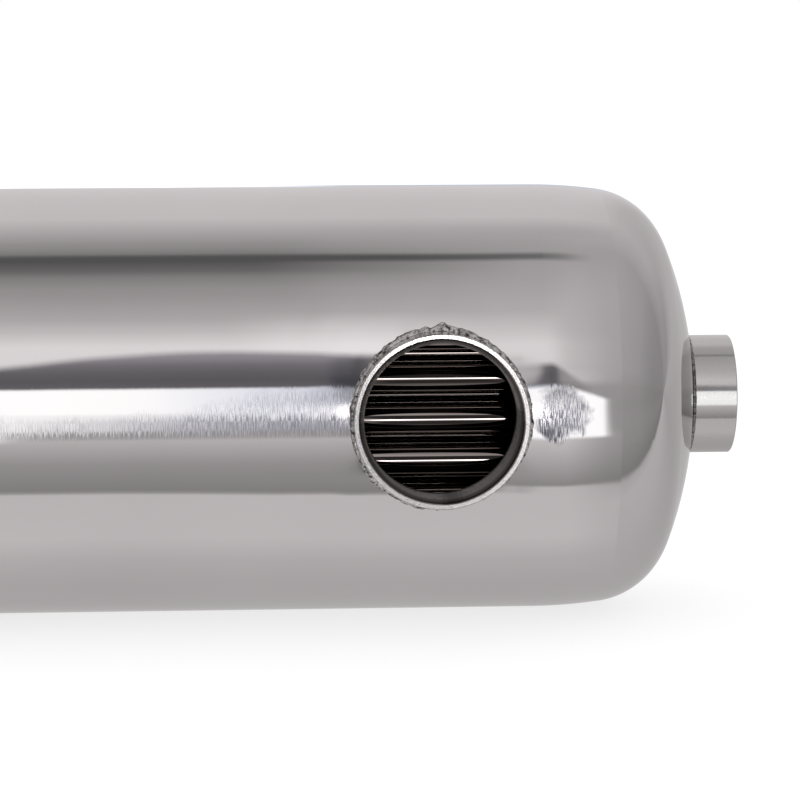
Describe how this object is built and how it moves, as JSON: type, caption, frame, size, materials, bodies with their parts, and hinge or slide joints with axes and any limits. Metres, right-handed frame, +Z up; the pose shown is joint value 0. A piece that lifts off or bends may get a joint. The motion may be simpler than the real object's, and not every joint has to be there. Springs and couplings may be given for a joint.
{
  "type": "pool heat exchanger",
  "caption": "Polished stainless shell-and-tube heat exchanger for pool water: a level cylinder with dished heads, threaded pool sockets on its side and a smaller threaded socket on each head.",
  "frame": {"origin": "centre of the left heating socket's rim, on the shell's axis", "axes": "+X along the shell's axis from the left head to the right head, the pool sockets face -Y, +Z up"},
  "size_m": [0.48, 0.141, 0.134],
  "materials": {
    "polished_stainless": "mirror polished, with faint polishing marks round the shell",
    "machined_stainless": "turned, bright",
    "weld_metal": "as welded, rough, brushed",
    "tubesheet_stainless": "turned, satin",
    "drawn_tube": "drawn, bright"
  },
  "bodies": {
    "root": {"shell": "polished_stainless", "left_head": "polished_stainless", "right_head": "polished_stainless", "left_pool_socket": "machined_stainless", "right_pool_socket": "machined_stainless", "left_pool_weld": "weld_metal", "right_pool_weld": "weld_metal", "left_heating_socket": "machined_stainless", "right_heating_socket": "machined_stainless", "left_heating_weld": "weld_metal", "right_heating_weld": "weld_metal", "left_tubesheet": "tubesheet_stainless", "right_tubesheet": "tubesheet_stainless", "tube_column_1": "drawn_tube", "tube_column_2": "drawn_tube", "tube_column_3": "drawn_tube", "tube_column_4": "drawn_tube", "tube_column_5": "drawn_tube", "tube_column_6": "drawn_tube", "tube_column_7": "drawn_tube", "tube_column_8": "drawn_tube", "tube_column_9": "drawn_tube"}
  },
  "joints": []
}
